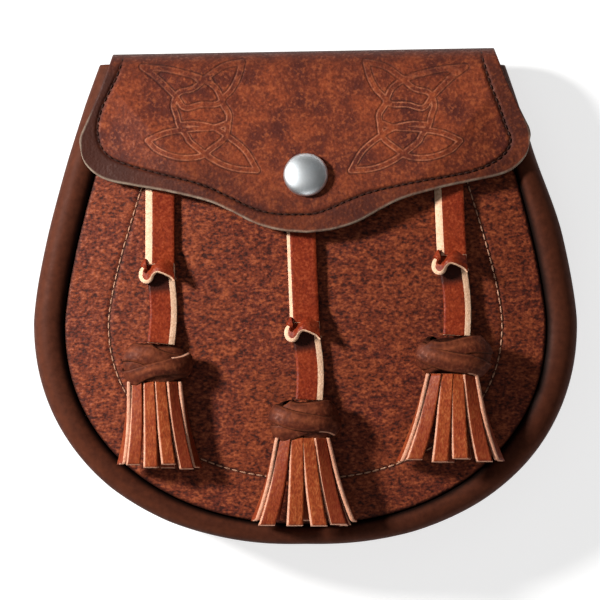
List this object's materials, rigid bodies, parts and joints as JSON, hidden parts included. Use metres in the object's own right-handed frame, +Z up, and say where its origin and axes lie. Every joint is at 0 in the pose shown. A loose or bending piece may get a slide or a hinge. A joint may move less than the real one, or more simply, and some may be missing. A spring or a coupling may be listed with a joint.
{
  "type": "sporran pouch",
  "caption": "Leather sporran pouch with a rolled gusset, a folded snap flap, knotted leather tassels on curled straps and a belt loop.",
  "frame": {"origin": "under the middle of the whole outline, on the surface the pouch lies on with its front up", "axes": "+Z up out of the pouch's front, +Y towards its fold, +X to the right as the front is seen"},
  "size_m": [0.1906, 0.174, 0.0493],
  "materials": {
    "panel_leather": "mottled red-brown, fine pebbled grain, satin",
    "flap_leather": "mottled orange-brown, fine grain, embossed lines, satin",
    "gusset_leather": "smooth dark brown, satin",
    "back_leather": "plain brown, dull",
    "strap_leather": "glossy red-brown with pale cut edges",
    "knot_leather": "dark brown wrapped strips, satin",
    "tassel_leather": "orange-brown strips, satin, paler cut edges",
    "satin_nickel": "satin nickel"
  },
  "bodies": {
    "root": {"back_panel": "back_leather", "gusset": "gusset_leather", "front_panel": "panel_leather", "flap": "flap_leather", "belt_loop": "back_leather", "snap_cap": "satin_nickel", "snap_socket": "satin_nickel", "strap_left": "strap_leather", "knot_left": "knot_leather", "tassel_left": "tassel_leather", "strap_middle": "strap_leather", "knot_middle": "knot_leather", "tassel_middle": "tassel_leather", "strap_right": "strap_leather", "knot_right": "knot_leather", "tassel_right": "tassel_leather"}
  },
  "joints": []
}
